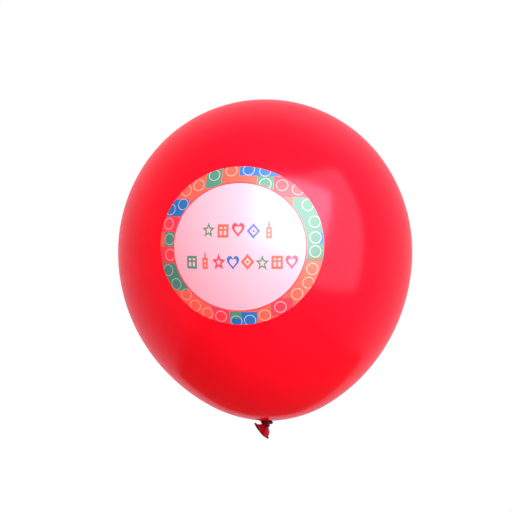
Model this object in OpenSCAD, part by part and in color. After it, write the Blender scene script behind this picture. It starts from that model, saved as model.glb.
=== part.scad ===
// A tied, air-filled party balloon of thin red latex with a round printed badge on its front.
// The origin is the middle of the short neck under the body, where a ribbon is tied.
// +Z runs up the balloon's axis, and the badge faces -Y.

/* [Body] */
// Radius of the inflated body at its widest level
body_r = 150; // [145:0.5:155]
// Height of the crown above the widest level
crown_h = 155.5; // [152:0.5:158]
// Radius of the arc that makes the upper flank
upper_flank_r = 161; // [160:0.5:170]
// Depth of the foot below the widest level
foot_h = 172; // [168:0.5:175]
// Radius of the arc that makes the lower flank
lower_flank_r = 180; // [178:0.5:186]
// Thickness of the latex wall
wall = 0.3; // [0.2:0.05:0.5]

/* [Neck] */
// Radius of the squeezed neck
neck_r = 1.8; // [1.7:0.05:2]
// Number of creases pressed round the neck
neck_creases = 9; // [5:1:14]
// Radius of one crease
crease_r = 0.22; // [0.1:0.02:0.3]
// Free space between pieces that move on each other
clearance = 0.2; // [0.15:0.05:0.25]

/* [Knot] */
// Radius of the rolled strand that loops round the neck
loop_tube_r = 1.5; // [1.4:0.05:1.55]
// Half of the loop's outer width, side to side
loop_half_w = 7.5; // [7:0.1:7.8]
// Half of the loop's outer depth, front to back
loop_half_d = 3.7; // [3.5:0.1:3.8]
// Depth of the loop's middle below the neck's centre
loop_drop = 1.9; // [1.8:0.05:2]
// Radius of the tail's rolled root, which is its hinge barrel
root_r = 0.95; // [0.8:0.05:1]
// Depth of the tail's hinge line below the neck's centre
root_drop = 4.6; // [4.6:0.05:4.8]

/* [Tail] */
// Thickness of the flattened sleeve
tail_t = 1.8; // [1.6:0.1:2]
// Thickness of one latex layer of the sleeve
tail_layer = 0.5; // [0.4:0.05:0.6]
// Radius of the rolled bead round the mouth
bead_r = 0.9; // [0.8:0.05:0.95]
// Distance between the bead's front and back strands
bead_gap = 0.2; // [0.1:0.05:0.3]

/* [Badge] */
// Height of the badge's middle above the widest level
badge_rise = 8.2; // [5:0.1:15]
// Outer width of the block ring, along the skin
ring_w = 167; // [160:0.5:170]
// Outer height of the block ring, along the skin
ring_h = 157; // [150:0.5:160]
// Width of the white disc, along the skin
disc_w = 131.3; // [128:0.1:136]
// Height of the white disc, along the skin
disc_h = 123.6; // [120:0.1:128]
// Width of the dark line round the disc
keyline_w = 1; // [0.6:0.1:1.4]
// Size of one block cell, along the skin
cell = 18.2; // [17.5:0.1:19]
// Outer radius of the circles on the blocks
circle_r = 6; // [5:0.1:7]
// Width of the circles' line
circle_line = 0.9; // [0.8:0.1:1.6]
// Size of one picture on the disc
motif_size = 12.5; // [11:0.5:13]
// Thickness of one ink layer
ink_t = 0.12; // [0.1:0.01:0.15]
// Free space under each ink layer, and between inks that lie side by side
ink_gap = 0.03; // [0.02:0.01:0.05]

/* [Hidden] */
$fn = 96;

// Far enough outside the model for any cutting shape
far = 400;
// Height of the body's lowest point, its widest level and the badge's middle
foot_z = neck_r + clearance;
waist_z = foot_z + foot_h;
badge_z = waist_z + badge_rise;
// Front and back of the slab that the badge's outlines are cut from
badge_front = 170;
badge_back = 90;
// The ring's middle lies a little beside and above the disc's
disc_shift = [-0.3, -1.4];

// The loop's centre line: a slot shape of two half circles and two straight runs
loop_bend_r = loop_half_d - loop_tube_r;
loop_straight = loop_half_w - loop_half_d;
// The strand that fills the loop's middle
core_half_t = loop_bend_r - loop_tube_r;
core_half_w = loop_straight + core_half_t;
core_foot_t = 1.5;
core_foot_x = [-3.2, 3.4];

// The flattened sleeve's mouth runs from its left end to its right end
mouth_left = [-9.4, -4.2];
mouth_right = [2.2, -17.3];
mouth_dx = mouth_right[0] - mouth_left[0];
mouth_dz = mouth_right[1] - mouth_left[1];
mouth_len = sqrt(mouth_dx * mouth_dx + mouth_dz * mouth_dz);
mouth_angle = atan2(mouth_dz, mouth_dx);
bead_bend_r = bead_r + bead_gap / 2;
root_x = [-2.8, 3.4];
// Point between root and mouth where the sleeve is widest on the right
sleeve_side = [3.6, -10.5];

// Blocks of the ring in cells from its middle: left, bottom, width, height
BLUE = [
    [-0.1, 3.75, 2.3, 0.8], [-4.5, 1.55, 1.65, 0.95], [-0.5, -4.6, 1.5, 0.65], [0.15, -3.95, 0.85, 0.4],
    [4.35, 0.1, 0.4, 0.6]
];
GREEN = [
    [0.9, 3, 0.9, 0.75], [-1.95, 3.05, 0.9, 1.4], [2.85, -0.65, 1.8, 3.25],
    [-4.6, -2.5, 1.75, 1.5], [-4.3, -0.1, 0.75, 0.8], [-0.5, -3.95, 0.65, 0.4]
];
RED = [
    [1.8, 2.6, 1.75, 1.15], [-4.5, 0.7, 1.1, 0.85], [-4.6, -1, 1.1, 0.9],
    [-1.5, -4.5, 1, 1.2], [1.75, -3.8, 1.15, 1]
];
SAND = [[3.3, -0.85, 1.4, 0.2]];
// Middles of the circles on the blocks, in cells from the ring's middle
CIRCLES = [
    [-0.55, 4.05], [0.4, 4.1], [1.3, 4.05], [1.35, 3.3], [2.25, 3.25], [3.1, 3.05],
    [3.65, 2.2], [4.05, 1.3], [4.1, 0.45], [4.1, -0.3], [3.95, -1.25], [3.75, -2],
    [3.15, -2.6], [2.25, -3.3], [1.4, -3.75], [0.6, -4.05], [-0.15, -4.1], [-1, -3.85],
    [-1.75, -3.7], [-2.45, -3.3], [-2.95, -2.7], [-3.55, -2.15], [-4.05, -1.4], [-3.9, -0.55],
    [-3.95, 0.3], [-4.05, 1.15], [-4, 1.95], [-3.2, 2.2], [-3.1, 2.98], [-2.35, 3.25], [-1.5, 3.8]
];

// Pictures on the disc: kind, colour
ROW_TOP = [
    ["star", "green"], ["gift", "orange"], ["heart", "red"], ["diamond", "blue"],
    ["candle", "orange"]
];
ROW_LOW = [
    ["gift", "green"], ["candle", "orange"], ["star", "red"], ["heart", "blue"],
    ["diamond", "orange"], ["star", "green"], ["gift", "orange"], ["heart", "magenta"]
];
// Height of each row, where it starts and the distance between its pictures, along the skin
row_top = [14, -28.5, 14.6];
row_low = [-16, -45.5, 13.9];
motif_open = 0.55;

// Radius of the cap that closes a flank arc at height h
function cap_r(flank_r, h) = (pow(body_r - flank_r, 2) + h * h - flank_r * flank_r) / (2 * (h - flank_r));

// Width on a flat view of a length measured along the curved skin
function flat(a) = body_r * sin(a / body_r * 180 / PI);

function flat_ellipse(w, h, steps = 72) = [
    for (i = [0:steps - 1]) [flat(w / 2) * cos(i * 360 / steps), flat(h / 2) * sin(i * 360 / steps)]
];

function star_points(r) = [
    for (i = [0:9]) (i % 2 == 0 ? r : 0.45 * r) * [sin(i * 36), cos(i * 36)]
];

// Upper or lower half of the body's outline, to the right of the axis
module half_outline(flank_r, h, grow) {
    cap = cap_r(flank_r, h);
    cap_z = h - cap;
    rise = far * cap_z / (flank_r - body_r);
    intersection() {
        translate([body_r - flank_r, 0]) circle(flank_r + grow, $fn = 360);
        polygon([[0, 0], [far, 0], [far, cap_z + rise], [0, cap_z]]);
    }
    intersection() {
        translate([0, cap_z]) circle(cap + grow, $fn = 360);
        polygon([[0, cap_z], [far, cap_z + rise], [far, 2 * far], [0, 2 * far]]);
    }
}

module body_outline(grow) {
    translate([0, waist_z]) {
        half_outline(upper_flank_r, crown_h, grow);
        mirror([0, 1]) half_outline(lower_flank_r, foot_h, grow);
    }
}

module skin(inner, outer) {
    rotate_extrude($fn = 180) difference() {
        body_outline(outer);
        body_outline(inner);
    }
}

module envelope() {
    color([0.86, 0.05, 0.08]) skin(-wall, 0);
}

// The squeezed neck is a ball, so that it can bend both ways, with creases down its side
module neck() {
    color([0.45, 0.02, 0.05]) difference() {
        sphere(neck_r);
        for (i = [0:neck_creases - 1])
            rotate([0, 0, i * 360 / neck_creases])
                translate([neck_r, 0, -neck_r]) cylinder(r = crease_r, h = 2 * neck_r, $fn = 16);
    }
}

// Seat in which the neck's ball turns
module neck_seat() {
    sphere(neck_r + clearance);
}

module loop_tube() {
    translate([0, 0, -loop_drop]) {
        for (side = [0, 180])
            rotate([0, 0, side]) {
                translate([loop_straight, 0, 0]) rotate([0, 0, -90])
                    rotate_extrude(angle = 180) translate([loop_bend_r, 0]) circle(loop_tube_r);
                translate([-loop_straight, loop_bend_r, 0]) rotate([0, 90, 0])
                    cylinder(r = loop_tube_r, h = 2 * loop_straight);
            }
    }
}

module knot_loop() {
    color([0.35, 0.01, 0.04]) difference() {
        loop_tube();
        neck_seat();
    }
}

module bar_x(x, half_t, z_low, z_high) {
    translate([x[0], -half_t, z_low]) cube([x[1] - x[0], 2 * half_t, z_high - z_low]);
}

// The strand that the loop squeezes, with a hollow below for the tail's rolled root
module knot_core() {
    color([0.5, 0.02, 0.05]) difference() {
        union() {
            bar_x([-core_half_w, core_half_w], core_half_t, -loop_drop - loop_tube_r, -loop_drop + 1);
            bar_x(core_foot_x, core_foot_t, -root_drop + 0.5, -loop_drop - 0.8);
        }
        loop_tube();
        neck_seat();
        translate([-far / 2, 0, -root_drop]) rotate([0, 90, 0])
            cylinder(r = root_r + clearance, h = far);
    }
}

module root_roll() {
    translate([root_x[0], 0, -root_drop]) rotate([0, 90, 0])
        cylinder(r = root_r, h = root_x[1] - root_x[0]);
}

module sleeve_slab(points, t) {
    rotate([90, 0, 0]) translate([0, 0, -t / 2]) linear_extrude(t) polygon(points);
}

module bead_ring() {
    translate([mouth_left[0], 0, mouth_left[1]]) rotate([0, -mouth_angle, 0]) {
        for (side = [-1, 1])
            translate([0, side * bead_bend_r, 0]) rotate([0, 90, 0])
                cylinder(r = bead_r, h = mouth_len);
        rotate([0, 0, 90]) rotate_extrude(angle = 180) translate([bead_bend_r, 0]) circle(bead_r);
        translate([mouth_len, 0, 0]) rotate([0, 0, -90])
            rotate_extrude(angle = 180) translate([bead_bend_r, 0]) circle(bead_r);
    }
}

// Two latex layers joined down both edges and open at the bead
module tail_sleeve() {
    inner_t = tail_t - 2 * tail_layer;
    edge = 0.6;
    color([0.7, 0.03, 0.06]) difference() {
        union() {
            sleeve_slab([
                [root_x[0], -root_drop], mouth_left, mouth_right, sleeve_side, [root_x[1], -root_drop]
            ], tail_t);
            root_roll();
        }
        sleeve_slab([
            [root_x[0] + edge, -root_drop - 1.6], mouth_left + [1.6, -2.2], mouth_left + [-1, -3],
            mouth_right + [-1.6, -1], mouth_right + [-0.4, 1.8], sleeve_side - [edge, 0],
            [root_x[1] - edge, -root_drop - 1.6]
        ], inner_t);
        bead_ring();
    }
}

module lip_bead() {
    color([0.3, 0.01, 0.04]) bead_ring();
}

// One ink layer: the drawn shape, cut from a thin skin on the body's front
module ink(layer, shade) {
    lift = ink_gap + layer * (ink_t + ink_gap);
    color(shade) intersection() {
        skin(lift, lift + ink_t);
        translate([0, 0, badge_z]) rotate([90, 0, 0]) translate([0, 0, badge_back])
            linear_extrude(badge_front - badge_back) children();
    }
}

module disc_shape(extra) {
    translate(disc_shift) polygon(flat_ellipse(disc_w + 2 * extra, disc_h + 2 * extra));
}

module ring_shape() {
    difference() {
        polygon(flat_ellipse(ring_w, ring_h));
        disc_shape(keyline_w + ink_gap);
    }
}

// A block's rectangle between two corners measured along the skin, grown by grow on every side
module block(b, grow) {
    low = [flat(b[0] * cell) - grow, flat(b[1] * cell) - grow];
    high = [flat((b[0] + b[2]) * cell) + grow, flat((b[1] + b[3]) * cell) + grow];
    translate(low) square(high - low);
}

module blocks(list) {
    for (b = list) block(b, 0);
}

// Room that other inks leave for the blocks in a list
module blocks_room(list) {
    for (b = list) block(b, ink_gap);
}

module block_circles() {
    for (c = CIRCLES)
        translate([flat(c[0] * cell), flat(c[1] * cell)]) difference() {
            circle(circle_r, $fn = 32);
            circle(circle_r - circle_line, $fn = 32);
        }
}

module motif_shape(kind) {
    s = motif_size / 2;
    if (kind == "star") polygon(star_points(1.1 * s));
    if (kind == "diamond") rotate([0, 0, 45]) square(1.35 * s, center = true);
    if (kind == "gift") square(1.7 * s, center = true);
    if (kind == "candle") square([0.7 * s, 2 * s], center = true);
    if (kind == "heart") {
        rotate([0, 0, 45]) square(1.05 * s, center = true);
        for (turn = [0, 90])
            rotate([0, 0, 45 + turn]) translate([0.525 * s, 0]) circle(0.525 * s, $fn = 32);
    }
}

module motif(kind) {
    difference() {
        motif_shape(kind);
        scale(motif_open) motif_shape(kind);
    }
}

module motif_row(row, place, colour) {
    for (i = [0:len(row) - 1])
        if (row[i][1] == colour)
            translate([flat(place[1] + i * place[2]), flat(place[0])]) motif(row[i][0]);
}

module motifs(colour) {
    motif_row(ROW_TOP, row_top, colour);
    motif_row(ROW_LOW, row_low, colour);
}

module ink_disc() {
    ink(0, [1, 0.9, 0.93]) disc_shape(0);
}

module ink_keyline() {
    ink(0, [0.5, 0.05, 0.12]) difference() {
        disc_shape(keyline_w);
        disc_shape(ink_gap);
    }
}

module ink_ring_blue() {
    ink(0, [0.1, 0.33, 0.7]) intersection() {
        ring_shape();
        blocks(BLUE);
    }
}

module ink_ring_green() {
    ink(0, [0.3, 0.55, 0.4]) difference() {
        intersection() {
            ring_shape();
            blocks(GREEN);
        }
        blocks_room(BLUE);
    }
}

module ink_ring_red() {
    ink(0, [0.85, 0.12, 0.2]) difference() {
        intersection() {
            ring_shape();
            blocks(RED);
        }
        blocks_room(BLUE);
        blocks_room(GREEN);
    }
}

module ink_ring_sand() {
    ink(0, [0.85, 0.7, 0.5]) difference() {
        intersection() {
            ring_shape();
            blocks(SAND);
        }
        blocks_room(BLUE);
        blocks_room(GREEN);
        blocks_room(RED);
    }
}

// Orange is the ring's ground colour, between all the other blocks
module ink_ring_orange() {
    ink(0, [0.95, 0.42, 0.32]) difference() {
        ring_shape();
        blocks_room(BLUE);
        blocks_room(GREEN);
        blocks_room(RED);
        blocks_room(SAND);
    }
}

module ink_ring_circles() {
    ink(1, [0.97, 0.93, 0.93]) intersection() {
        ring_shape();
        block_circles();
    }
}

module ink_motifs_green() {
    ink(1, [0.45, 0.68, 0.45]) motifs("green");
}

module ink_motifs_orange() {
    ink(1, [0.98, 0.6, 0.35]) motifs("orange");
}

module ink_motifs_red() {
    ink(1, [0.9, 0.15, 0.2]) motifs("red");
}

module ink_motifs_blue() {
    ink(1, [0.25, 0.45, 0.75]) motifs("blue");
}

module ink_motifs_magenta() {
    ink(1, [0.85, 0.15, 0.45]) motifs("magenta");
}

envelope();
neck();
knot_loop();
knot_core();
tail_sleeve();
lip_bead();
ink_disc();
ink_keyline();
ink_ring_blue();
ink_ring_green();
ink_ring_red();
ink_ring_sand();
ink_ring_orange();
ink_ring_circles();
ink_motifs_green();
ink_motifs_orange();
ink_motifs_red();
ink_motifs_blue();
ink_motifs_magenta();
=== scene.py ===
"""A tied red latex balloon with a round print on its front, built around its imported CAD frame."""

import math

import bmesh
import bpy
import numpy as np
from mathutils import Matrix, Vector, geometry


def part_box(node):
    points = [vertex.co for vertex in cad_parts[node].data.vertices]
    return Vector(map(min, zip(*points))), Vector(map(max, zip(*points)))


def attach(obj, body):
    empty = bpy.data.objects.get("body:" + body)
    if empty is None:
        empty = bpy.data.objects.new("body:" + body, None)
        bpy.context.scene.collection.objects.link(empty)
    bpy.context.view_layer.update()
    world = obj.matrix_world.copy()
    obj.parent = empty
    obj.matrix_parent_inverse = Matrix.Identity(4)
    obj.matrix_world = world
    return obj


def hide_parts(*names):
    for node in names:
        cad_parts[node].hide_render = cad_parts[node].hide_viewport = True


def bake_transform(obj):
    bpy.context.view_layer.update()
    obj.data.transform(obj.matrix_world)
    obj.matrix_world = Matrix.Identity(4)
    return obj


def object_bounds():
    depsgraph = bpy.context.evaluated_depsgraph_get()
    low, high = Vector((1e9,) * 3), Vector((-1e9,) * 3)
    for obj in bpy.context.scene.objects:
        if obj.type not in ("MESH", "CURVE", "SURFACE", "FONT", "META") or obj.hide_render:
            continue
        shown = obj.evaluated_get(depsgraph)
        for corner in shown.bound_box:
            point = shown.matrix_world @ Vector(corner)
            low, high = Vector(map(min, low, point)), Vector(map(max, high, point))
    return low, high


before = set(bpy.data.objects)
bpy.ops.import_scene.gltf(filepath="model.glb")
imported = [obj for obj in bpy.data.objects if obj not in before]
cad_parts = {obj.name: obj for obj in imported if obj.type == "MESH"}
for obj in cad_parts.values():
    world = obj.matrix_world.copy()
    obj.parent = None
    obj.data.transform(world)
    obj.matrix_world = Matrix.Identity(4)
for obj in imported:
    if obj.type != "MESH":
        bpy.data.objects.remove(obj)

cad_low, cad_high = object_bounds()
MM = 0.001

# The body: the CAD envelope's box, and the arcs that its outline is made of
env_low, env_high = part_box("envelope")
BODY_R = env_high.x
FOOT_Z = env_low.z
CROWN_Z = env_high.z
FOOT_H = 172 * MM
WAIST_Z = FOOT_Z + FOOT_H
CROWN_H = CROWN_Z - WAIST_Z
UPPER_FLANK_R = 161 * MM
LOWER_FLANK_R = 180 * MM
SKIN_COLUMNS = 216
SKIN_ROWS = 150
# How much closer the rows stand at the foot, the rows added in the funnel, and the last one's latitude
FOOT_CROWDING = 0.06
FUNNEL_ROWS = 40
FUNNEL_END = 0.018

# How the real body differs from the CAD arcs: soft lumps, and a foot that leans to one side
LUMP = 0.22 * MM
LEAN = 3.6 * MM
LEAN_POWER = 2.5
LEAN_SIDE = (0.984, 0.18)
LEAN_FREE_R = (3 * MM, 15 * MM)

# The funnel where the skin gathers into the neck
NECK_R = 2.9 * MM
FUNNEL_DIP = 1.6 * MM
FUNNEL_REACH = 1.7 * MM
GATHER_DIP = 0.7 * MM
GATHER_REACH = 7 * MM
PLEATS = 13
PLEAT_DEPTH = 0.42 * MM
PLEAT_REACH = 9 * MM

# The latex is darker near the neck, where it is thicker and where the shade of the gathered funnel is
# painted on, and at the crown, where it is thicker: share and reach
FOOT_DARK = (2.1, 11 * MM)
CROWN_DARK = (0.35, 13 * MM)

# The neck stem, in millimetres: its two ends, its radius and how it turns round
NECK_ENDS = (1.3, -2.6)
NECK_STEM_R = 2.45
NECK_TWIST = 250

# The print, in millimetres along the skin from its middle
BADGE_Z = WAIST_Z + 8.2 * MM
RING_HALF = (83.5, 78.5)
DISC_HALF = (65.65, 61.8)
DISC_AT = (-0.3, -1.4)
KEYLINE = 1.3
CELL = 18.2
CIRCLE_R = 6.0
CIRCLE_LINE = 0.85
PRINT_STEP = 3.2
# The rows of the print's grid, in steps, and how near to the ring's edge they go
ROW_RISE = 0.866
GRID_REACH = 0.98
FIRST_INK = (0.05 * MM, 0.10 * MM)
SECOND_INK = (0.08 * MM, 0.15 * MM)

# Blocks of the ring in cells from its middle: left, bottom, width, height
BLOCKS = {
    "blue": [
        (-0.1, 3.75, 2.3, 0.8), (-4.5, 1.55, 1.65, 0.95), (-0.5, -4.6, 1.5, 0.65), (0.15, -3.95, 0.85, 0.4),
        (4.35, 0.1, 0.4, 0.6),
    ],
    "green": [
        (0.9, 3, 0.9, 0.75), (-1.95, 3.05, 0.9, 1.4), (2.85, -0.65, 1.8, 3.25),
        (-4.6, -2.5, 1.75, 1.5), (-4.3, -0.1, 0.75, 0.8), (-0.5, -3.95, 0.65, 0.4),
    ],
    "red": [
        (1.8, 2.6, 1.75, 1.15), (-4.5, 0.7, 1.1, 0.85), (-4.6, -1, 1.1, 0.9),
        (-1.5, -4.5, 1, 1.2), (1.75, -3.8, 1.15, 1),
    ],
    "sand": [(3.3, -0.85, 1.4, 0.2)],
}
# Middles of the circles on the ring, in cells from its middle
CIRCLES = [
    (-0.55, 4.05), (0.4, 4.1), (1.3, 4.05), (1.35, 3.3), (2.25, 3.25), (3.1, 3.05),
    (3.65, 2.2), (4.05, 1.3), (4.1, 0.45), (4.1, -0.3), (3.95, -1.25), (3.75, -2),
    (3.15, -2.6), (2.25, -3.3), (1.4, -3.75), (0.6, -4.05), (-0.15, -4.1), (-1, -3.85),
    (-1.75, -3.7), (-2.45, -3.3), (-2.95, -2.7), (-3.55, -2.15), (-4.05, -1.4), (-3.9, -0.55),
    (-3.95, 0.3), (-4.05, 1.15), (-4, 1.95), (-3.2, 2.2), (-3.1, 2.98), (-2.35, 3.25), (-1.5, 3.8),
]

# Pictures on the disc: kind and colour, from left to right
TOP_ROW = [
    ("star", "green"), ("gift", "orange"), ("heart", "red"), ("diamond", "blue"), ("candle", "orange"),
]
LOW_ROW = [
    ("gift", "green"), ("candle", "orange"), ("star", "red"), ("heart", "blue"),
    ("diamond", "orange"), ("star", "green"), ("gift", "orange"), ("heart", "magenta"),
]
# Each row's start, its height and the distance between its pictures
TOP_ROW_AT = (-28.5, 14, 14.6)
LOW_ROW_AT = (-45.5, -16, 13.9)
PICTURE_R = 6.25
PICTURE_SHAPE = (1.02, 1.2)
STROKE = 2.0
# How far a picture stands above or below its row
BOUNCE = 0.6


# ---------------------------------------------------------------- the body's surface

def half_arcs(flank_r, height):
    """The cap arc's radius and centre height, and the latitude where the flank arc meets it."""
    cap_r = ((BODY_R - flank_r) ** 2 + height ** 2 - flank_r ** 2) / (2 * (height - flank_r))
    cap_z = height - cap_r
    return cap_r, cap_z, math.asin(cap_z / (flank_r - cap_r))


def outline(latitude):
    """The body outline's radius and height where its normal has this latitude."""
    up = latitude >= 0
    steep = np.abs(latitude)
    flank_r = np.where(up, UPPER_FLANK_R, LOWER_FLANK_R)
    upper = half_arcs(UPPER_FLANK_R, CROWN_H)
    lower = half_arcs(LOWER_FLANK_R, FOOT_H)
    cap_r, cap_z, joint = (np.where(up, a, b) for a, b in zip(upper, lower))
    on_cap = steep > joint
    radius = np.where(on_cap, cap_r * np.cos(steep), BODY_R - flank_r + flank_r * np.cos(steep))
    height = np.where(on_cap, cap_z + cap_r * np.sin(steep), flank_r * np.sin(steep))
    return radius, WAIST_Z + np.where(up, height, -height)


def latitude_at(z):
    """The latitude of the outline's normal at height z."""
    rise = z - WAIST_Z
    found = np.zeros_like(rise)
    for sign, flank_r, height in ((1, UPPER_FLANK_R, CROWN_H), (-1, LOWER_FLANK_R, FOOT_H)):
        cap_r, cap_z, joint = half_arcs(flank_r, height)
        h = rise * sign
        on_flank = np.arcsin(np.clip(h / flank_r, -1, 1))
        on_cap = np.arcsin(np.clip((h - cap_z) / cap_r, -1, 1))
        here = np.where(on_flank > joint, on_cap, on_flank)
        found = np.where(h > 0, sign * here, found)
    return found


def smooth(t):
    """0 before 0, 1 after 1, and a smooth turn between them."""
    t = np.clip(t, 0, 1)
    return t * t * (3 - 2 * t)


def pleat_phase(azimuth):
    """The phase of the uneven pleats round the neck."""
    return PLEATS * azimuth + 1.7 * np.sin(2 * azimuth) + 0.8


def skin_point(latitude, azimuth, lift=0.0):
    """Points of the real skin: the CAD outline with lumps, a leaning foot and gathers at the neck."""
    radius, z = outline(latitude)
    lumps = np.sin(3 * azimuth + 1.1) * np.cos(2.3 * latitude + 0.4)
    lumps = lumps + 0.6 * np.sin(5 * azimuth - 2 * latitude) * np.cos(latitude) ** 2
    out = lift + LUMP * lumps * np.cos(latitude)
    radius = radius + out * np.cos(latitude)
    z = z + out * np.sin(latitude)

    low = np.where(latitude < 0, 1.0, 0.0)
    dip = np.exp(-(np.maximum(radius - NECK_R, 0) / FUNNEL_REACH) ** 2)
    gather = np.exp(-(radius / GATHER_REACH) ** 2)
    wobble = np.cos(pleat_phase(azimuth))
    reach = radius / PLEAT_REACH
    pleat = reach * np.exp(1 - reach) * np.exp(-(radius / (2.6 * PLEAT_REACH)) ** 2)
    z = z + low * (PLEAT_DEPTH * wobble * pleat - FUNNEL_DIP * dip - GATHER_DIP * gather)

    depth = np.clip((WAIST_Z - z) / FOOT_H, 0, 1)
    free = smooth((radius - LEAN_FREE_R[0]) / (LEAN_FREE_R[1] - LEAN_FREE_R[0]))
    lean = LEAN * depth ** LEAN_POWER * free
    x = radius * np.sin(azimuth) + lean * LEAN_SIDE[0]
    y = -radius * np.cos(azimuth) + lean * LEAN_SIDE[1]
    return np.stack([x, y, z], axis=-1)


def skin_normal(latitude, azimuth):
    """The real skin's outward normals, from its slopes."""
    step = 1e-3
    along = skin_point(latitude + step, azimuth) - skin_point(latitude - step, azimuth)
    around = skin_point(latitude, azimuth + step) - skin_point(latitude, azimuth - step)
    normal = np.cross(around, along)
    return normal / np.linalg.norm(normal, axis=-1, keepdims=True)


# ---------------------------------------------------------------- mesh helpers

def new_mesh(name, points, faces, smooth_shaded=True):
    """A mesh object of these points and faces."""
    mesh = bpy.data.meshes.new(name)
    mesh.from_pydata([tuple(p) for p in points], [], [tuple(int(i) for i in f) for f in faces])
    mesh.update()
    mesh.shade_smooth() if smooth_shaded else mesh.shade_flat()
    piece = bpy.data.objects.new(name, mesh)
    bpy.context.scene.collection.objects.link(piece)
    return piece


def closed_mesh(name, points, faces):
    """A closed mesh object whose faces all look outward."""
    piece = new_mesh(name, points, faces)
    measured = bmesh.new()
    measured.from_mesh(piece.data)
    if measured.calc_volume(signed=True) < 0:
        piece.data.flip_normals()
    measured.free()
    return piece


def tube_faces(rows, columns, closed_rows=False):
    """Faces of a grid of rows whose columns close on themselves."""
    faces = []
    for i in range(rows if closed_rows else rows - 1):
        below = (i + 1) % rows
        for j in range(columns):
            nxt = (j + 1) % columns
            here, under = i * columns, below * columns
            faces.append((here + j, here + nxt, under + nxt, under + j))
    return faces


def capped_tube(name, rings):
    """A closed mesh from rings of points, with a point in the middle of each end."""
    rows, columns, _ = rings.shape
    points = np.concatenate([rings.reshape(-1, 3), rings[:1].mean(1), rings[-1:].mean(1)])
    faces = tube_faces(rows, columns)
    first, last = rows * columns, rows * columns + 1
    for j in range(columns):
        nxt = (j + 1) % columns
        faces.append((first, nxt, j))
        faces.append((last, (rows - 1) * columns + j, (rows - 1) * columns + nxt))
    return closed_mesh(name, points, faces)


def curve_through(points, count):
    """A smooth open curve through a few points, as count points evenly spaced in their order."""
    p = np.asarray(points, float)
    p = np.concatenate([2 * p[:1] - p[1:2], p, 2 * p[-1:] - p[-2:-1]])
    t = np.linspace(0, len(points) - 1, count)
    i = np.minimum(t.astype(int), len(points) - 2)
    f = (t - i)[:, None]
    a, b, c, d = p[i], p[i + 1], p[i + 2], p[i + 3]
    square = (2 * a - 5 * b + 4 * c - d) * f ** 2
    cube = (3 * b - a - 3 * c + d) * f ** 3
    return 0.5 * (2 * b + (c - a) * f + square + cube)


def strand_rings(path, radius, columns, closed, wrinkle, twist):
    """Rings of a strand along a path: its radius at each point, with wrinkles that wind along it."""
    ahead = np.roll(path, -1, 0) - np.roll(path, 1, 0)
    if not closed:
        ahead[0] = path[1] - path[0]
        ahead[-1] = path[-1] - path[-2]
    ahead = ahead / np.linalg.norm(ahead, axis=1, keepdims=True)
    # A direction that no strand runs along, so that its rings don't flip
    side = np.cross(ahead, np.array([0.13, 0.21, 1.0]))
    side = side / np.linalg.norm(side, axis=1, keepdims=True)
    other = np.cross(side, ahead)
    turn = np.linspace(0, 2 * math.pi, columns, endpoint=False)[None, :]
    along = np.linspace(0, 1, len(path))[:, None]
    fine = wrinkle * np.cos(7 * turn + twist * along)
    coarse = 0.6 * wrinkle * np.cos(4 * turn - 1.7 * twist * along)
    r = np.asarray(radius, float).reshape(-1, 1) * (1 + fine + coarse)
    across = side[:, None, :] * (r * np.cos(turn))[..., None]
    return path[:, None, :] + across + other[:, None, :] * (r * np.sin(turn))[..., None]


# ---------------------------------------------------------------- materials

# The materials' noise, in waves in a metre, and the depth of what it raises
CLOUD_WAVES = 22
GRAIN_WAVES = 900
RIPPLE_WAVES = 130
RIPPLE_DEPTH = 0.25 * MM
PINHOLE_WAVES = 1500
WEAR_WAVES = 45
SMEAR_WAVES = 700
INK_RELIEF_WAVES = 420
INK_RELIEF = 0.05 * MM
INK_GLOSS = 0.3


def new_material(name):
    """An empty node material, with short ways to add and join nodes."""
    material = bpy.data.materials.new(name)
    material.use_nodes = True
    material.node_tree.nodes.clear()
    return material, material.node_tree.nodes, material.node_tree.links


def feed(links, value, socket):
    """Gives a socket a number, a colour or another node's output."""
    if isinstance(value, bpy.types.NodeSocket):
        links.new(value, socket)
    else:
        socket.default_value = (*value, 1) if isinstance(value, tuple) else value


def noise(nodes, links, scale, detail):
    """Noise in the piece's own space, at this many waves in a metre."""
    place = nodes.new("ShaderNodeTexCoord")
    texture = nodes.new("ShaderNodeTexNoise")
    texture.inputs["Scale"].default_value = scale
    texture.inputs["Detail"].default_value = detail
    texture.inputs["Roughness"].default_value = 0.55
    links.new(place.outputs["Object"], texture.inputs["Vector"])
    return texture.outputs["Fac"]


def stretch(nodes, links, value, low, high, start=0.0, end=1.0, turn="LINEAR"):
    """A value that runs from start to end moved to a range from low to high."""
    remap = nodes.new("ShaderNodeMapRange")
    remap.interpolation_type = turn
    limits = {"From Min": start, "From Max": end, "To Min": low, "To Max": high}
    for name, limit in limits.items():
        remap.inputs[name].default_value = limit
    links.new(value, remap.inputs["Value"])
    return remap.outputs["Result"]


def arithmetic(nodes, links, operation, *terms):
    """The result of one operation on numbers and other nodes' outputs."""
    node = nodes.new("ShaderNodeMath")
    node.operation = operation
    for term, socket in zip(terms, node.inputs):
        feed(links, term, socket)
    return node.outputs["Value"]


def mix_colour(nodes, links, share, first, second):
    """A mix of two colours; each colour and the second one's share may be a node's output."""
    mix = nodes.new("ShaderNodeMix")
    mix.data_type = "RGBA"
    feed(links, share, mix.inputs["Factor"])
    feed(links, first, mix.inputs["A"])
    feed(links, second, mix.inputs["B"])
    return mix.outputs["Result"]


def mix_shader(nodes, links, share, first, second):
    """A mix of two shaders, with the share of the second."""
    mix = nodes.new("ShaderNodeMixShader")
    feed(links, share, mix.inputs["Fac"])
    links.new(first, mix.inputs[1])
    links.new(second, mix.inputs[2])
    return mix.outputs["Shader"]


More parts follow.
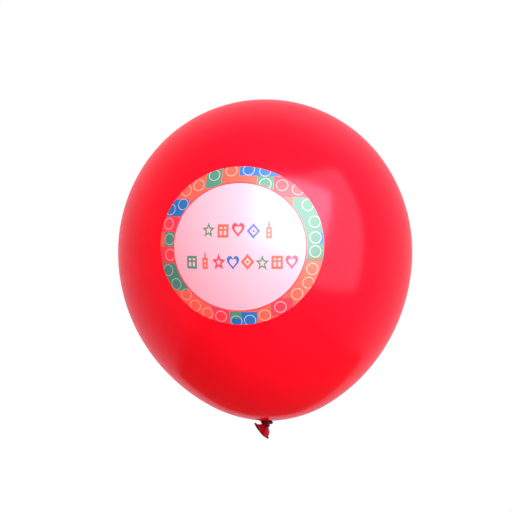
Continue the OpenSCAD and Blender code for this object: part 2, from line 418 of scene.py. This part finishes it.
def bump(nodes, links, shader, height, strength, distance):
    """Joins a height to a shader's normal."""
    node = nodes.new("ShaderNodeBump")
    node.inputs["Strength"].default_value = strength
    node.inputs["Distance"].default_value = distance
    links.new(height, node.inputs["Height"])
    links.new(node.outputs["Normal"], shader.inputs["Normal"])


def latex(name, stretched, darker_tone, lets_through, gloss, shine):
    """Latex that is lighter where it is stretched thin and darker by the piece's own values: thick latex,
    and at the envelope's foot a painted shade.
    """
    material, nodes, links = new_material(name)
    out = nodes.new("ShaderNodeOutputMaterial")
    shader = nodes.new("ShaderNodeBsdfPrincipled")
    attribute = nodes.new("ShaderNodeAttribute")
    attribute.attribute_name = "thickness_and_shade"
    thickness_and_shade = attribute.outputs["Fac"]

    paler = tuple(min(1, 1.10 * c + 0.0006) for c in stretched)
    cloudy = noise(nodes, links, CLOUD_WAVES, 3)
    ground = mix_colour(nodes, links, cloudy, stretched, paler)
    colour = mix_colour(nodes, links, thickness_and_shade, ground, darker_tone)
    grainy = noise(nodes, links, GRAIN_WAVES, 2)
    links.new(colour, shader.inputs["Base Color"])
    links.new(stretch(nodes, links, grainy, gloss - 0.03, gloss + 0.03), shader.inputs["Roughness"])
    shader.inputs["IOR"].default_value = 1.6
    shader.inputs["Specular IOR Level"].default_value = shine
    shader.inputs["Specular Tint"].default_value = (1, 0.62, 1, 1)
    bump(nodes, links, shader, noise(nodes, links, RIPPLE_WAVES, 4), 0.12, RIPPLE_DEPTH)

    surface = shader.outputs["BSDF"]
    if lets_through:
        glow = nodes.new("ShaderNodeBsdfTranslucent")
        links.new(colour, glow.inputs["Color"])
        share = stretch(nodes, links, thickness_and_shade, lets_through, 0.3 * lets_through)
        surface = mix_shader(nodes, links, share, surface, glow.outputs["BSDF"])
    links.new(surface, out.inputs["Surface"])
    return material


def ink(name, colour, worn, sheer=0.0):
    """Semi-gloss ink with a grain of pinholes; a sheer ink takes on some of the colour it lies on."""
    material, nodes, links = new_material(name)
    out = nodes.new("ShaderNodeOutputMaterial")
    shader = nodes.new("ShaderNodeBsdfPrincipled")

    grain = stretch(nodes, links, noise(nodes, links, PINHOLE_WAVES, 3), 0.25, 1.2)
    pinholes = arithmetic(nodes, links, "POWER", grain, 5)
    uneven = stretch(nodes, links, noise(nodes, links, WEAR_WAVES, 4), 0.05, 0.3)
    share = arithmetic(nodes, links, "MULTIPLY_ADD", pinholes, 0.25, uneven)
    base = mix_colour(nodes, links, share, colour, worn)
    if sheer:
        under = nodes.new("ShaderNodeAttribute")
        under.attribute_name = "under"
        base = mix_colour(nodes, links, sheer, base, under.outputs["Color"])
    links.new(base, shader.inputs["Base Color"])
    smears = stretch(nodes, links, noise(nodes, links, SMEAR_WAVES, 2), INK_GLOSS - 0.04, INK_GLOSS + 0.06)
    links.new(smears, shader.inputs["Roughness"])
    shader.inputs["IOR"].default_value = 1.5
    bump(nodes, links, shader, noise(nodes, links, INK_RELIEF_WAVES, 3), 0.1, INK_RELIEF)
    links.new(shader.outputs["BSDF"], out.inputs["Surface"])
    return material


# Latex by piece: stretched colour, darker colour where thick (on the envelope's foot also painted shade),
# share of light let through, roughness, shine
RED = (0.88, 0.004, 0.0195)
LATEX = {
    "latex_red": (RED, (0.17, 0.001, 0.006), 0.5, 0.17, 0.5),
    "latex_neck": (RED, (0.24, 0.001, 0.004), 0, 0.3, 0.2),
    "latex_knot": (RED, (0.10, 0.0006, 0.002), 0, 0.28, 0.2),
    "latex_strand": (RED, (0.20, 0.0008, 0.0016), 0, 0.28, 0.16),
    "latex_tail": ((0.62, 0.002, 0.005), (0.18, 0.0008, 0.002), 0.45, 0.28, 0.2),
    "latex_lip": (RED, (0.09, 0.0006, 0.003), 0, 0.28, 0.2),
}
# Ink by shade: its colour, its worn colour and, for a sheer one, the share of the colour under it
INKS = {
    "white": ((0.96, 0.33, 0.39), (0.95, 0.26, 0.32)),
    "maroon": ((0.66, 0.03, 0.07), (0.70, 0.02, 0.05)),
    "blue": ((0.004, 0.120, 0.33), (0.03, 0.10, 0.27)),
    "green": ((0.042, 0.195, 0.135), (0.10, 0.15, 0.105)),
    "red": ((0.82, 0.032, 0.058), (0.82, 0.022, 0.036)),
    "sand": ((0.14, 0.10, 0.05), (0.25, 0.10, 0.06)),
    "orange": ((0.86, 0.09, 0.055), (0.86, 0.055, 0.035)),
    "line": ((0.93, 0.62, 0.60), (0.92, 0.44, 0.42), 0.6),
    "magenta": ((0.75, 0.05, 0.13), (0.80, 0.06, 0.10)),
}


# ---------------------------------------------------------------- latex pieces

def coated(piece, thickness_and_shade, material):
    """The piece with its latex on, which reads how thick it is at each point, and on the envelope's foot
    how much painted shade it has.
    """
    attribute = piece.data.attributes.new("thickness_and_shade", "FLOAT", "POINT")
    thickness_and_shade = np.broadcast_to(thickness_and_shade, len(piece.data.vertices))
    attribute.data.foreach_set("value", np.array(thickness_and_shade, np.float32))
    piece.data.materials.append(latex(material, *LATEX[material]))
    return piece


def make_envelope():
    """The inflated skin, from the crown down into the neck."""
    angle = np.linspace(0, 1, SKIN_ROWS)
    latitude = math.pi / 2 - math.pi * (angle + FOOT_CROWDING * np.sin(math.pi * angle) ** 2)
    latitude = np.clip(latitude, -math.pi / 2, math.pi / 2)[1:-1]
    funnel = np.geomspace(math.pi / 2 + latitude[-1], FUNNEL_END, FUNNEL_ROWS)[1:]
    latitude = np.concatenate([latitude, funnel - math.pi / 2])
    azimuth = np.linspace(0, 2 * math.pi, SKIN_COLUMNS, endpoint=False)
    piece = capped_tube("envelope_skin", skin_point(latitude[:, None], azimuth[None, :]))

    radius, _ = outline(latitude)
    # Darker near the neck: thicker latex there, and painted shade of the gathered funnel
    at_foot = np.minimum(1, FOOT_DARK[0] * np.exp(-radius / FOOT_DARK[1]))
    at_crown = CROWN_DARK[0] * np.exp(-(radius / CROWN_DARK[1]) ** 2)
    darker_tone = np.where(latitude < 0, at_foot, at_crown)
    ends = [darker_tone[0], darker_tone[-1]]
    return coated(piece, np.concatenate([np.repeat(darker_tone, SKIN_COLUMNS), ends]), "latex_red")


def make_neck():
    """The squeezed stem, with the pleats that run down into the knot."""
    rows, columns = 16, 96
    z = np.linspace(*NECK_ENDS, rows)[:, None] * MM
    turn = np.linspace(0, 2 * math.pi, columns, endpoint=False)[None, :]
    top, foot = z / (NECK_ENDS[0] * MM), z / (NECK_ENDS[1] * MM)
    waist = 1 + 0.22 * smooth(top) + 0.10 * smooth(foot)
    folds = 1 + 0.085 * np.cos(pleat_phase(turn) + NECK_TWIST * z)
    r = NECK_STEM_R * MM * waist * folds
    rings = np.stack([r * np.sin(turn) + 0.2 * MM, -r * np.cos(turn), z + 0 * turn], axis=-1)
    return coated(capped_tube("neck_stem", rings), 0.75, "latex_neck")


def make_knot_roll():
    """The strand that is wound round the neck, with a lobe that stands out on one side."""
    count, columns = 120, 40
    t = np.linspace(0, 2 * math.pi, count, endpoint=False)
    # An egg-shaped loop in millimetres that dips at the front, where the other strand crosses it
    x = 2.4 + 4.7 * np.cos(t) + 0.5 * np.cos(2 * t)
    y = 2.15 * np.sin(t) + 0.12 * np.sin(3 * t + 0.5)
    z = -0.5 - 0.5 * np.sin(t + 0.3) + 0.02 * x + 0.15 * np.sin(2 * t)
    path = np.stack([x, y, z], axis=-1) * MM
    radius = (1.42 + 0.14 * np.cos(t - 0.3) + 0.07 * np.sin(3 * t)) * MM
    rings = strand_rings(path, radius, columns, True, wrinkle=0.05, twist=12)
    piece = closed_mesh("knot_roll", rings.reshape(-1, 3), tube_faces(count, columns, True))
    return coated(piece, 1.0, "latex_knot")


def make_knot_pinch():
    """The strand that crosses over the roll and turns down into the tail."""
    points = [
        (-0.9, 1.6, -1.0), (-1.7, -0.6, -0.7), (-1.2, -3.0, -0.3), (1.6, -3.9, -0.9),
        (4.4, -3.2, -1.9), (5.0, -1.2, -3.2), (3.9, 0.1, -4.6), (2.2, 0.3, -5.6),
    ]
    path = curve_through(np.array(points) * MM, 90)
    ends = np.linspace(0, 1, len(path))
    radius = (1.05 + 0.25 * np.sin(math.pi * ends)) * MM
    rings = strand_rings(path, radius, 36, False, wrinkle=0.06, twist=9)
    return coated(capped_tube("knot_pinch", rings), 1.0, "latex_strand")


# The flattened sleeve's edges, from the knot to the two ends of the mouth, in millimetres across and up
TAIL_LEFT = [(-1.9, -1.6), (-3.6, -2.6), (-6.4, -2.6), (-9.1, -2.4)]
TAIL_RIGHT = [(4.1, -1.6), (4.7, -5.5), (5.6, -11.0), (3.8, -16.3)]
MOUTH_BULGE = 1.4
LAYER = 0.28
# Shares of the sleeve's length: all of it outside, and inside from the mouth up to where it is tied shut
OUTSIDE = np.linspace(0, 1, 56)
INSIDE = np.linspace(1, 0.12, 48)


def tail_section(s, turn, inset=0.0):
    """Points round the flattened sleeve at shares s of its length, further in for its inner face."""
    left = curve_through(TAIL_LEFT, 101)
    right = curve_through(TAIL_RIGHT, 101)
    at = np.linspace(0, 1, 101)
    a = np.stack([np.interp(s, at, left[:, k]) for k in range(2)], axis=-1)[:, None, :]
    b = np.stack([np.interp(s, at, right[:, k]) for k in range(2)], axis=-1)[:, None, :]
    s = np.asarray(s)[:, None]

    # From the left edge to the right one and back, with the mouth's line bulging outward
    across = 0.5 - 0.5 * np.cos(turn)[None, :]
    width = np.linalg.norm(b - a, axis=-1)
    across = inset / width + across * (1 - 2 * inset / width)
    flat = a + (b - a) * across[..., None]
    outward = np.stack([(b - a)[..., 1], -(b - a)[..., 0]], axis=-1)
    outward = outward / np.linalg.norm(outward, axis=-1, keepdims=True)
    bulge = MOUTH_BULGE * s ** 2 * 4 * across * (1 - across)
    flat = flat + outward * bulge[..., None]

    # Thick at the knot, thin in the middle and a little open at the mouth, with pleats and waves
    half_t = 1.15 - 0.45 * smooth(s * 1.6) + 0.25 * smooth((s - 0.7) / 0.3)
    round_off = np.sign(np.sin(turn)) * np.abs(np.sin(turn)) ** 0.6
    layer = (half_t - inset) * round_off[None, :]
    pleats = 0.42 * np.exp(-2.3 * s) * np.cos(15 * across + 2.0 * s + 0.6)
    pleats = pleats * np.abs(np.sin(turn))[None, :]
    wave = (0.75 * np.sin(5.2 * across + 1.2) + 0.5 * np.sin(9 * across - 3 * s)) * s ** 1.3
    y = layer + pleats * np.sign(layer) + wave
    return np.stack([flat[..., 0], y, flat[..., 1]], axis=-1) * MM


def make_tail():
    """The open end of the neck: two thin layers with a hollow between them."""
    turn = np.linspace(0, 2 * math.pi, 96, endpoint=False)
    outer = tail_section(OUTSIDE, turn)
    inner = tail_section(INSIDE, turn, LAYER)
    piece = capped_tube("tail_fan", np.concatenate([outer, inner]))

    # Thicker by the knot, down a folded column on the right, and along both edges
    s = np.concatenate([OUTSIDE, INSIDE])[:, None]
    across = (0.5 - 0.5 * np.cos(turn))[None, :]
    column = np.exp(-((across - 0.78) / 0.16) ** 2) * (1 - smooth((s - 0.45) / 0.3))
    edge = np.exp(-np.minimum(across, 1 - across) / 0.035)
    darker_tone = np.clip(0.9 * np.exp(-3.4 * s) + 0.65 * column + 0.5 * edge, 0, 1)
    return coated(piece, np.concatenate([darker_tone.ravel(), [1.0, 1.0]]), "latex_tail")


def make_lip():
    """The rolled rim round the mouth, uneven as it was rolled."""
    count, columns = 160, 28
    turn = np.linspace(0, 2 * math.pi, count, endpoint=False)
    path = tail_section(np.ones(1), turn)[0]
    path = path + (path - path.mean(0)) * np.array([0.0, 0.12, 0.0])
    # The rim is thickest at the two ends of the mouth, where it folds over
    uneven = 0.06 * np.sin(5 * turn) + 0.04 * np.sin(11 * turn + 1)
    radius = (0.72 + uneven + 0.36 * np.cos(turn) ** 8) * MM
    rings = strand_rings(path, radius, columns, True, wrinkle=0.04, twist=30)
    piece = closed_mesh("lip_roll", rings.reshape(-1, 3), tube_faces(count, columns, True))
    return coated(piece, 1.0, "latex_lip")


# ---------------------------------------------------------------- print outlines, in mm along the skin

def ellipse(half, at=(0, 0), count=200):
    """An ellipse from its half width and half height."""
    turn = np.linspace(0, 2 * math.pi, count, endpoint=False)
    return np.stack([at[0] + half[0] * np.cos(turn), at[1] + half[1] * np.sin(turn)], axis=-1)


def rectangle(left, bottom, width, height):
    """A rectangle from its lower left corner."""
    right, top = left + width, bottom + height
    return np.array([(left, bottom), (right, bottom), (right, top), (left, top)])


def star(r):
    """A star with five points."""
    turn = np.arange(10) * math.pi / 5
    reach = np.where(np.arange(10) % 2 == 0, r, 0.45 * r)
    return np.stack([-reach * np.sin(turn), reach * np.cos(turn)], axis=-1)


def heart(r):
    """A heart outline: two round lobes over a point."""
    t = np.linspace(0, 2 * math.pi, 44, endpoint=False)
    x = -np.sin(t) ** 3
    y = (13 * np.cos(t) - 5 * np.cos(2 * t) - 2 * np.cos(3 * t) - np.cos(4 * t)) / 15
    return r * np.stack([x, y + 0.12], axis=-1)


def box_at(x, y, half_w, half_h):
    """A rectangle from its middle."""
    return rectangle(x - half_w, y - half_h, 2 * half_w, 2 * half_h)


def flame(r, at):
    """A candle's flame: a drop that is pinched at its top."""
    t = np.linspace(0, 2 * math.pi, 24, endpoint=False)
    pinch = 0.5 * (1 - np.cos(t)) ** 0.7
    return np.stack([at[0] - r * np.sin(t) * pinch * 0.8, at[1] + r * 1.5 * np.cos(t)], axis=-1)


def picture(kind):
    """A picture's loops in the order they are laid, each with whether it is ink or bare."""
    r = PICTURE_R
    if kind == "star":
        return [(star(1.1 * r), True), (star(1.1 * r - 1.95 * STROKE), False)]
    if kind == "heart":
        return [(heart(0.95 * r), True), (heart(0.95 * r - 1.3 * STROKE), False)]
    if kind == "diamond":
        cut = ellipse((1, 1), count=4)
        facet = box_at(0, 0, 0.5 * STROKE, 0.5 * STROKE)
        return [(cut * r, True), (cut * (r - 1.42 * STROKE), False), (facet, True)]
    if kind == "gift":
        half = 0.84 * r
        hole = half - STROKE
        upright, level = box_at(0, 0, 0.8, hole), box_at(0, 0.9, hole, 0.7)
        inside = box_at(0, 0, hole, hole)
        return [(box_at(0, 0, half, half), True), (inside, False), (upright, True), (level, True)]
    low, half_w, half_h, stroke = -0.24 * r, 0.42 * r, 0.72 * r, 0.85 * STROKE
    candle = box_at(0, low, half_w, half_h)
    inside = box_at(0, low, half_w - stroke, half_h - stroke)
    band = box_at(0, low, half_w - 0.6, 0.75)
    return [(candle, True), (inside, False), (band, True), (flame(0.3 * r, (0, 0.9 * r)), True)]


def print_loops():
    """Every loop of the print: its key and its points."""
    loops = [
        (("ring",), ellipse(RING_HALF)),
        (("keyline",), ellipse((DISC_HALF[0] + KEYLINE, DISC_HALF[1] + KEYLINE), DISC_AT)),
        (("disc",), ellipse(DISC_HALF, DISC_AT)),
    ]
    for colour, blocks in BLOCKS.items():
        for block in blocks:
            loops.append((("block", colour), rectangle(*(CELL * size for size in block))))
    for number, (x, y) in enumerate(CIRCLES):
        for r in (CIRCLE_R, CIRCLE_R - CIRCLE_LINE):
            loops.append((("circle", number, r == CIRCLE_R), ellipse((r, r), (x * CELL, y * CELL), 40)))
    number = 0
    for row, (start, height, pitch) in ((TOP_ROW, TOP_ROW_AT), (LOW_ROW, LOW_ROW_AT)):
        for i, (kind, colour) in enumerate(row):
            middle = (start + i * pitch, height + BOUNCE * math.sin(2.4 * i + start))
            for layer, (shape, inked) in enumerate(picture(kind)):
                moved = shape * PICTURE_SHAPE + middle
                loops.append((("picture", colour, number, layer, inked), moved))
            number += 1
    return loops


def dense(loop, step):
    """A loop with points added, so that none of its edges is longer than step."""
    made = []
    for start, end in zip(loop, np.roll(loop, -1, 0)):
        count = max(1, math.ceil(np.linalg.norm(end - start) / step))
        made.extend(start + (end - start) * i / count for i in range(count))
    return made


def overlay(loops, step, half):
    """One mesh that follows every loop: its points, its triangles and the keys of the loops round each."""
    points, faces = [], []
    for _, loop in loops:
        loop = dense(loop, step)
        faces.append(list(range(len(points), len(points) + len(loop))))
        points.extend(Vector(p) for p in loop)
    rows = int(half[1] / (step * ROW_RISE)) + 1
    columns = int(half[0] / step) + 1
    for j in range(-rows, rows + 1):
        for i in range(-columns, columns + 1):
            x, y = (i + 0.5 * (j % 2)) * step, j * ROW_RISE * step
            if (x / half[0]) ** 2 + (y / half[1]) ** 2 < GRID_REACH:
                points.append(Vector((x, y)))
    made = geometry.delaunay_2d_cdt(points, [], faces, 1, 1e-4, True)
    where = np.array([tuple(p) for p in made[0]])
    return where, np.array(made[2]), [{loops[i][0] for i in held} for held in made[5]]


def ring_colour(keys):
    """The ring block's colour at a triangle, with orange as the ground."""
    for colour in BLOCKS:
        if ("block", colour) in keys:
            return colour
    return "orange"


def ink_of(keys):
    """The names of the first and the second ink layer at a triangle, or None where there is none."""
    if ("disc",) in keys:
        # The loop that was laid last settles whether this is ink or bare
        pictures = sorted(k[2:] + (k[1],) for k in keys if k[0] == "picture")
        inked = pictures and pictures[-1][2]
        return "disc", "motifs_" + pictures[-1][3] if inked else None
    if ("keyline",) in keys:
        return "keyline", None
    if ("ring",) not in keys:
        return None, None
    # A circle's line lies inside its outer loop and outside its inner one
    outer = {k[1] for k in keys if k[0] == "circle" and k[2]}
    inner = {k[1] for k in keys if k[0] == "circle" and not k[2]}
    return "ring_" + ring_colour(keys), "ring_circles" if outer - inner else None


def onto_skin(where):
    """Latitude and azimuth of points that were measured along the skin from the badge's middle."""
    away = np.hypot(where[:, 0], where[:, 1]) * MM
    shrink = np.sinc(away / BODY_R / math.pi)
    x = where[:, 0] * MM * shrink
    latitude = latitude_at(BADGE_Z + where[:, 1] * MM * shrink)
    radius, _ = outline(latitude)
    return latitude, np.arcsin(np.clip(x / radius, -1, 1))


def ink_shell(name, where, triangles, layer, under):
    """A thin closed shell of ink on the skin over these triangles, which knows the colour it lies on."""
    used, corners = np.unique(triangles, return_inverse=True)
    corners = corners.reshape(-1, 3)
    latitude, azimuth = onto_skin(where[used])
    low = skin_point(latitude, azimuth, layer[0])
    high = skin_point(latitude, azimuth, layer[1])
    count = len(used)

    # The top, the underside turned over, and a wall along every edge that only one triangle has
    edges = np.concatenate([corners[:, [0, 1]], corners[:, [1, 2]], corners[:, [2, 0]]])
    reverse = {(b, a) for a, b in edges.tolist()}
    rim = [(a, b) for a, b in edges.tolist() if (a, b) not in reverse]
    faces = [tuple(f) for f in corners.tolist()]
    faces += [(a + count, c + count, b + count) for a, b, c in corners.tolist()]
    faces += [(b, a, a + count, b + count) for a, b in rim]
    piece = new_mesh(name, np.concatenate([high, low]), faces)
    normal = skin_normal(latitude, azimuth)
    normals = [tuple(n) for n in np.concatenate([normal, normal])]
    piece.data.normals_split_custom_set_from_vertices(normals)

    shade = np.ones((2 * count, 4))
    for corner in range(3):
        shade[corners[:, corner], :3] = under
        shade[corners[:, corner] + count, :3] = under
    layer_colour = piece.data.attributes.new("under", "FLOAT_COLOR", "POINT")
    layer_colour.data.foreach_set("color", shade.ravel())
    return piece


# The shade of the pieces whose names don't end with it
INK_OF_PIECE = {"disc": "white", "keyline": "maroon", "ring_circles": "line"}


def make_print():
    """The print's pieces: one for each colour and layer, all riding on the body."""
    loops = print_loops()
    where, triangles, keys = overlay(loops, PRINT_STEP, RING_HALF)
    found = {}
    for triangle, held in zip(triangles, keys):
        for layer, kind in zip((FIRST_INK, SECOND_INK), ink_of(held)):
            if kind:
                _, laid, under = found.setdefault(kind, (layer, [], []))
                laid.append(triangle)
                under.append(INKS[ring_colour(held)][0])
    shades = {shade: ink("ink_" + shade, *colours) for shade, colours in INKS.items()}
    for kind, (layer, laid, under) in sorted(found.items()):
        piece = ink_shell("print_" + kind, where, np.array(laid), layer, np.array(under))
        shade = INK_OF_PIECE.get(kind, kind.split("_")[-1])
        piece.data.materials.append(shades[shade])
        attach(piece, "body")
        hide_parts("ink_" + kind)


# ---------------------------------------------------------------- the object

def make_balloon():
    """Every piece of the balloon; the knot's pieces and the print ride on their bodies, and the CAD node
    that each piece stands in for is hidden.
    """
    skin = make_envelope()
    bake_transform(skin)
    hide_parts("envelope")

    neck = make_neck()
    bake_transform(neck)
    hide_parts("neck")

    roll = make_knot_roll()
    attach(roll, "knot")
    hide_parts("knot_loop")

    pinch = make_knot_pinch()
    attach(pinch, "knot")
    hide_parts("knot_core")

    tail = (make_tail(), "tail_sleeve", "latex_tail")
    lip = (make_lip(), "lip_bead", "latex_thick")
    for piece, node, slot in (tail, lip):
        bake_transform(piece)
        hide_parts(node)

    make_print()


# ---------------------------------------------------------------- camera, light and stage

# The camera: its direction, its distance, the width that it sees there, its roll and what it looks at
VIEW_AZIMUTH = math.radians(10.4)
VIEW_ELEVATION = math.radians(1.0)
VIEW_DISTANCE = 1.8
VIEW_WIDTH = 523.6 * MM
VIEW_ROLL = math.radians(0.3)
SIDE = Vector((math.cos(VIEW_AZIMUTH), math.sin(VIEW_AZIMUTH), 0))
LOOK_AT = Vector((0, 0, 169.8 * MM)) - 9.2 * MM * SIDE
# The floor, and the room's brightness: in front and behind, and straight down as a share of that
FLOOR_HALF = 0.75
FLOOR_DROP = 0.55
FLOOR_GREY = 0.06
ROOM_FRONT, ROOM_BACK = 0.34, 0.8
ROOM_DOWN = 0.3
ROOM_TINT = (1.0, 0.86, 1.0)
WHITE = (1.0, 1.0, 1.0)


def view_direction(azimuth, elevation):
    """From the object towards a viewer at these angles, in radians."""
    flat = math.cos(elevation)
    return Vector((math.sin(azimuth) * flat, -math.cos(azimuth) * flat, math.sin(elevation)))


def facing(back, roll):
    """A turn that looks along the reverse of this direction, rolled by this angle."""
    return (-back).to_track_quat("-Z", "Y").to_matrix().to_4x4() @ Matrix.Rotation(roll, 4, "Z")


def make_camera():
    """A camera that sees the given width at the object's distance."""
    data = bpy.data.cameras.new("camera")
    data.sensor_width = 36
    data.lens = data.sensor_width * VIEW_DISTANCE / VIEW_WIDTH
    data.clip_end = 50
    camera = bpy.data.objects.new("camera", data)
    back = view_direction(VIEW_AZIMUTH, VIEW_ELEVATION)
    camera.matrix_world = Matrix.Translation(LOOK_AT + back * VIEW_DISTANCE) @ facing(back, VIEW_ROLL)
    bpy.context.scene.collection.objects.link(camera)
    bpy.context.scene.camera = camera


def soft_box(name, azimuth, elevation, distance, width, height, power, mirrored=True, roll=0):
    """A rectangular light that looks at the body, at these angles in degrees from the camera's own."""
    data = bpy.data.lights.new(name, "AREA")
    data.shape = "RECTANGLE"
    data.size, data.size_y = width, height
    data.energy = power
    lamp = bpy.data.objects.new(name, data)
    around, up = VIEW_AZIMUTH + math.radians(azimuth), VIEW_ELEVATION + math.radians(elevation)
    back = view_direction(around, up)
    middle = Vector((0, 0, WAIST_Z))
    lamp.matrix_world = Matrix.Translation(middle + back * distance) @ facing(back, math.radians(roll))
    lamp.visible_glossy = mirrored
    bpy.context.scene.collection.objects.link(lamp)


def make_world():
    """White for the camera, and for all other rays a dim room that is lighter behind the object."""
    world = bpy.data.worlds.new("room")
    bpy.context.scene.world = world
    world.use_nodes = True
    nodes, links = world.node_tree.nodes, world.node_tree.links
    nodes.clear()
    place = nodes.new("ShaderNodeTexCoord")
    split = nodes.new("ShaderNodeSeparateXYZ")
    links.new(place.outputs["Generated"], split.inputs[0])
    level = stretch(nodes, links, split.outputs["Y"], ROOM_FRONT, ROOM_BACK, -0.2, 0.9, "SMOOTHSTEP")
    below = stretch(nodes, links, split.outputs["Z"], ROOM_DOWN, 1.0, -0.95, -0.45, "SMOOTHSTEP")
    room = arithmetic(nodes, links, "MULTIPLY", level, below)
    seen = nodes.new("ShaderNodeLightPath").outputs["Is Camera Ray"]
    strength = nodes.new("ShaderNodeMix")
    strength.data_type = "FLOAT"
    feed(links, seen, strength.inputs["Factor"])
    feed(links, room, strength.inputs["A"])
    feed(links, 1.0, strength.inputs["B"])
    back = nodes.new("ShaderNodeBackground")
    links.new(mix_colour(nodes, links, seen, ROOM_TINT, WHITE), back.inputs["Color"])
    links.new(strength.outputs["Result"], back.inputs["Strength"])
    out = nodes.new("ShaderNodeOutputWorld")
    links.new(back.outputs[0], out.inputs["Surface"])


def make_floor():
    """A plain pale floor, well below the tail, that meets the white room without an edge."""
    corners = [(-1, -1), (1, -1), (1, 1), (-1, 1)]
    height = cad_low.z - FLOOR_DROP
    points = [(FLOOR_HALF * x, FLOOR_HALF * y, height) for x, y in corners]
    floor = new_mesh("floor", points, [(0, 1, 2, 3)], False)
    material, nodes, links = new_material("floor_pale")
    matt = nodes.new("ShaderNodeBsdfDiffuse")
    feed(links, (FLOOR_GREY, FLOOR_GREY, FLOOR_GREY), matt.inputs["Color"])
    bright = nodes.new("ShaderNodeEmission")
    feed(links, WHITE, bright.inputs["Color"])
    seen = nodes.new("ShaderNodeLightPath").outputs["Is Camera Ray"]
    surface = mix_shader(nodes, links, seen, matt.outputs["BSDF"], bright.outputs["Emission"])
    out = nodes.new("ShaderNodeOutputMaterial")
    links.new(surface, out.inputs["Surface"])
    floor.data.materials.append(material)


make_camera()
make_world()
make_floor()
soft_box("key", azimuth=20, elevation=25, distance=2.0, width=2.2, height=2.0, power=103, roll=-16)
soft_box("side", azimuth=52, elevation=15, distance=2.3, width=2.4, height=3.4, power=56)
soft_box("back", azimuth=170, elevation=40, distance=2.0, width=2.5, height=2.0, power=82, mirrored=False)
make_balloon()
bpy.context.scene.view_settings.view_transform = "Standard"
